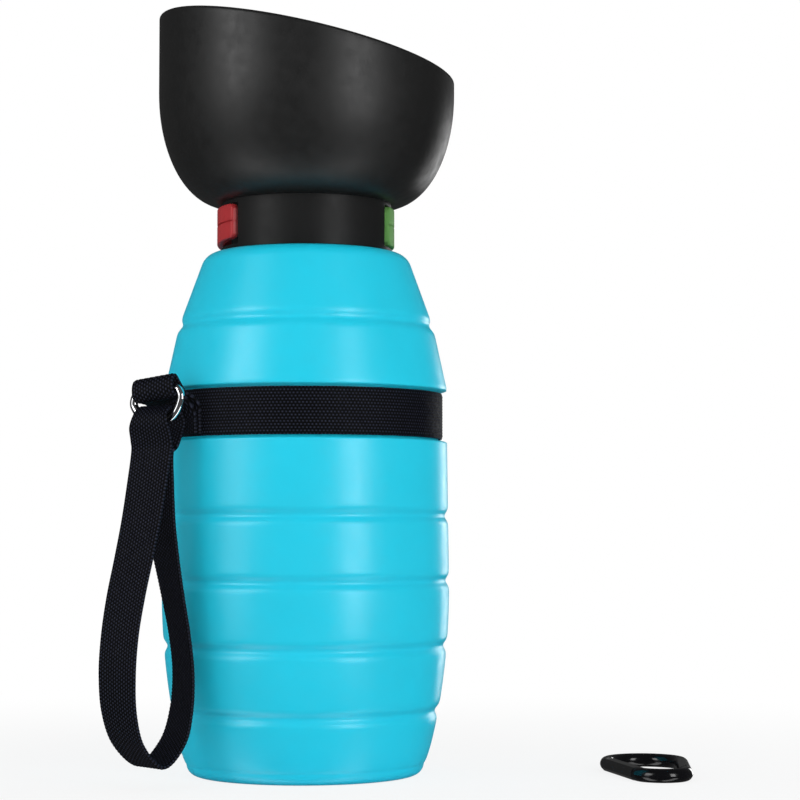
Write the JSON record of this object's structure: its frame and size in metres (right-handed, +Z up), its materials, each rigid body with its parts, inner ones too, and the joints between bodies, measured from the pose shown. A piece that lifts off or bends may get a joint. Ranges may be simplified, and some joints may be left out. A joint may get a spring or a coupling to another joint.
{
  "type": "dog travel water bottle",
  "caption": "Ribbed squeeze bottle with a slanted drinking bowl on a push-valve screw cap, a webbing band with a ring and wrist strap, and a loose snap hook.",
  "frame": {"origin": "centre of the bottle's flat base, on the surface that it stands on", "axes": "+Z up along the bottle's axis; +X to the bowl's low side and to the open button's end; -Y to the front, from which the picture was taken"},
  "size_m": [0.16, 0.0902, 0.2121],
  "materials": {
    "bottle_plastic": "soft translucent-looking satin, fine moulded texture",
    "cap_plastic": "satin black",
    "bowl_rubber": "soft satin black",
    "seal_rubber": "matt",
    "slide_plastic": "smooth",
    "close_red": "satin",
    "open_green": "satin",
    "inner_plastic": "satin",
    "screw_steel": "bright",
    "webbing": "woven webbing",
    "ring_chrome": "polished",
    "hook_black": "glossy",
    "pin_steel": "bright"
  },
  "bodies": {
    "bottle": {"bottle_body": "bottle_plastic", "strap_band": "webbing", "strap_tab": "webbing"},
    "gasket": {"cap_gasket": "seal_rubber"},
    "cap": {"cap_collar": "cap_plastic", "lower_valve_seal": "seal_rubber", "upper_valve_seal": "seal_rubber", "valve_cover": "inner_plastic", "bowl": "bowl_rubber", "outlet_nozzle": "inner_plastic", "bowl_clamp_ring": "inner_plastic", "clamp_screws": "screw_steel"},
    "valve": {"slide_bar": "slide_plastic", "close_button": "close_red", "open_button": "open_green"},
    "ring": {"d_ring": "ring_chrome"},
    "strap": {"wrist_strap": "webbing"},
    "hook": {"hook_body": "hook_black"},
    "gate": {"hook_gate": "hook_black", "gate_pin": "pin_steel", "gate_spring": "pin_steel"}
  },
  "joints": [
    {"name": "cap_lift", "type": "slide", "parent": "bottle", "child": "gasket", "axis": [0, 0, 1], "range_m": [0, 0.002]},
    {"name": "cap_turn", "type": "hinge", "parent": "gasket", "child": "cap", "pos_m": [0, 0, 0.145], "axis": [0, 0, 1], "range_deg": [0, 300]},
    {"name": "valve_slide", "type": "slide", "parent": "cap", "child": "valve", "axis": [-0.9884, -0.1521, 0], "range_m": [-0.0022, 0.0022]},
    {"name": "ring_swing", "type": "hinge", "parent": "bottle", "child": "ring", "pos_m": [-0.03883, -0.02947, 0.1046], "axis": [-0.8796, 0.4598, -0.1219], "range_deg": [0, 80]},
    {"name": "strap_swing", "type": "hinge", "parent": "ring", "child": "strap", "pos_m": [-0.03874, -0.02952, 0.09601], "axis": [-0.8862, 0.4633, 0], "range_deg": [0, 40]},
    {"name": "hook_lift", "type": "slide", "parent": "bottle", "child": "hook", "axis": [0, 0, 1], "range_m": [0, 0.1]},
    {"name": "gate_swing", "type": "hinge", "parent": "hook", "child": "gate", "pos_m": [0.10391, -0.0132, 0.0019], "axis": [0, 0, 1], "range_deg": [0, 26], "stiffness_Nm_per_rad": 0.01, "springref_deg": -17.19}
  ],
  "couplings": [
    {"joint": "cap_lift", "follows": "cap_turn", "m_per_rad": 0.00038197}
  ]
}
